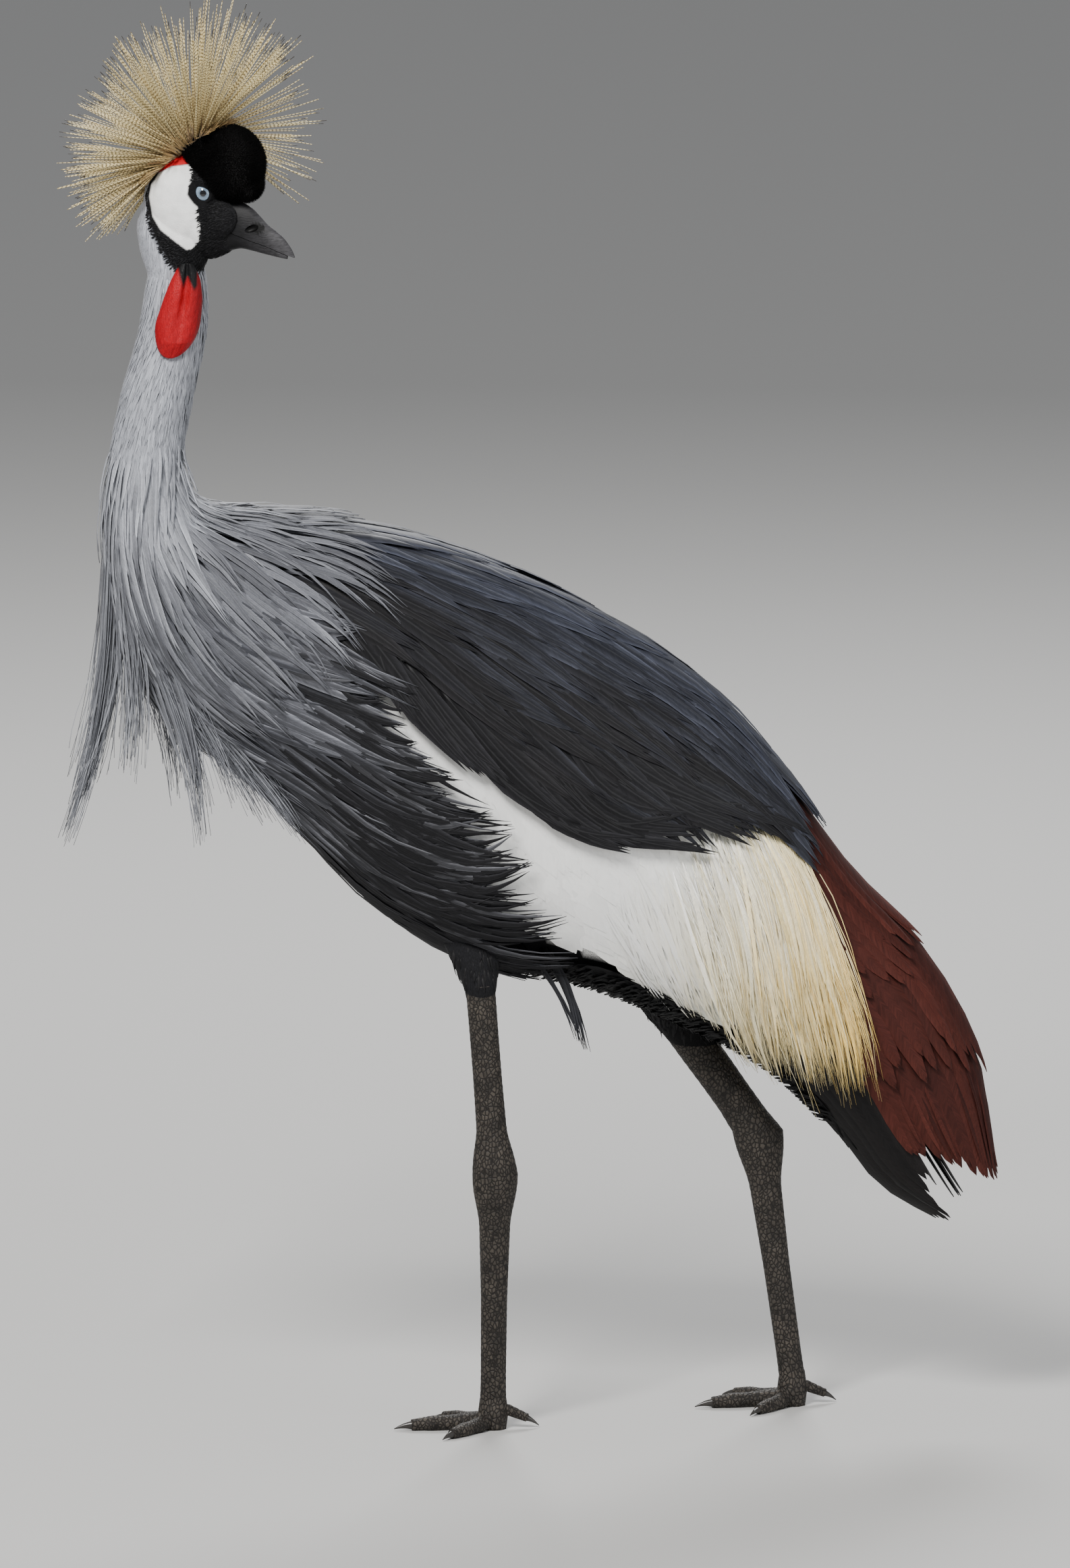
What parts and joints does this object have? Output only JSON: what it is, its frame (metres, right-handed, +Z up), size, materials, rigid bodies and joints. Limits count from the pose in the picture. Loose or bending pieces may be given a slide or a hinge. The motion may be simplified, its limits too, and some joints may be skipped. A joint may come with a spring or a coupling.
{
  "type": "grey crowned crane model",
  "caption": "Life-size still model of a grey crowned crane standing with its head turned back, with a bristle crest, throat wattle, hanging neck plumes and folded wings.",
  "frame": {"origin": "on the floor, under the middle of the bird's length and width", "axes": "+Z up from the floor, -X the way the body faces, +X towards the tail, -Y its left side"},
  "size_m": [0.8022, 0.2036, 1.2322],
  "materials": {
    "bare_skin": "matt, finely wrinkled",
    "bill_horn": "satin, streaked",
    "velvet_feather": "deep matt pile",
    "eye": "wet gloss",
    "crest_bristle": "stiff straw bristle",
    "wattle_skin": "matt, pebbled",
    "neck_feather": "soft, hair-like",
    "body_feather": "satin vane",
    "white_feather": "smooth vane",
    "gold_feather": "loose filaments",
    "chestnut_feather": "satin vane",
    "quill_feather": "satin vane",
    "leg_scale": "matt scales",
    "claw_horn": "satin horn"
  },
  "bodies": {
    "root": {"bill_lower": "bill_horn", "bill_upper": "bill_horn", "claw_hind_left": "claw_horn", "claw_hind_right": "claw_horn", "claw_inner_left": "claw_horn", "claw_inner_right": "claw_horn", "claw_middle_left": "claw_horn", "claw_middle_right": "claw_horn", "claw_outer_left": "claw_horn", "claw_outer_right": "claw_horn", "coverts_left": "white_feather", "coverts_right": "white_feather", "crest": "crest_bristle", "eye_left": "eye", "eye_right": "eye", "foot_left": "leg_scale", "foot_right": "leg_scale", "head": "bare_skin", "neck_lower": "neck_feather", "neck_middle": "neck_feather", "neck_upper": "neck_feather", "plumes_left": "gold_feather", "plumes_right": "gold_feather", "primaries_left": "quill_feather", "primaries_right": "quill_feather", "scapulars_left": "body_feather", "scapulars_right": "body_feather", "secondaries_left": "chestnut_feather", "secondaries_right": "chestnut_feather", "shank_left": "leg_scale", "shank_right": "leg_scale", "tail": "quill_feather", "tarsus_left": "leg_scale", "tarsus_right": "leg_scale", "thigh_left": "body_feather", "thigh_right": "body_feather", "torso": "body_feather", "velvet_cap": "velvet_feather", "wattle": "wattle_skin"}
  },
  "joints": []
}
